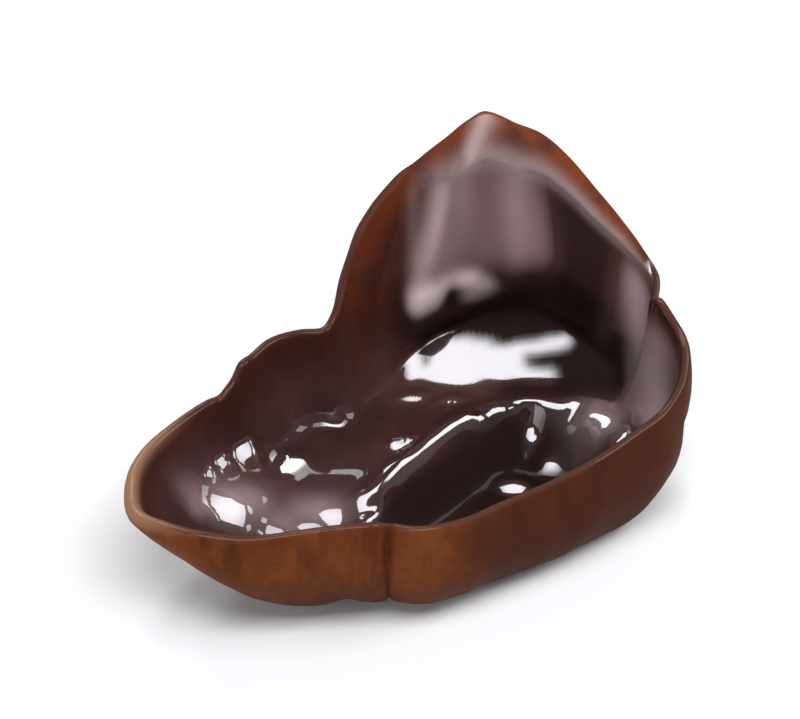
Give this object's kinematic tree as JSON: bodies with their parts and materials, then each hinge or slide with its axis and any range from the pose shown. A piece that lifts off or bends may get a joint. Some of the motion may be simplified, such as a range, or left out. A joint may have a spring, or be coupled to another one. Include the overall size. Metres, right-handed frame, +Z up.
{
  "type": "wood ear mushroom",
  "caption": "Soaked wood ear fungus grown as one thin cupped sheet: an oval cup with a spoon-like tip, a folded ridge inside, and a peaked hood behind; it rests on a flat cut.",
  "frame": {"origin": "centre of the ear's bounds in plan, at the height of the flat cut that it stands on", "axes": "+Z up from the cut; +X from the spoon-like tip towards the right wall; +Y towards the back, where the hood stands"},
  "size_m": [0.0652, 0.046, 0.0426],
  "materials": {
    "ear_flesh": "wet gloss; near-black purple-brown inner face, amber-brown outer face, paler rim"
  },
  "bodies": {
    "root": {"wood_ear": "ear_flesh"}
  },
  "joints": []
}
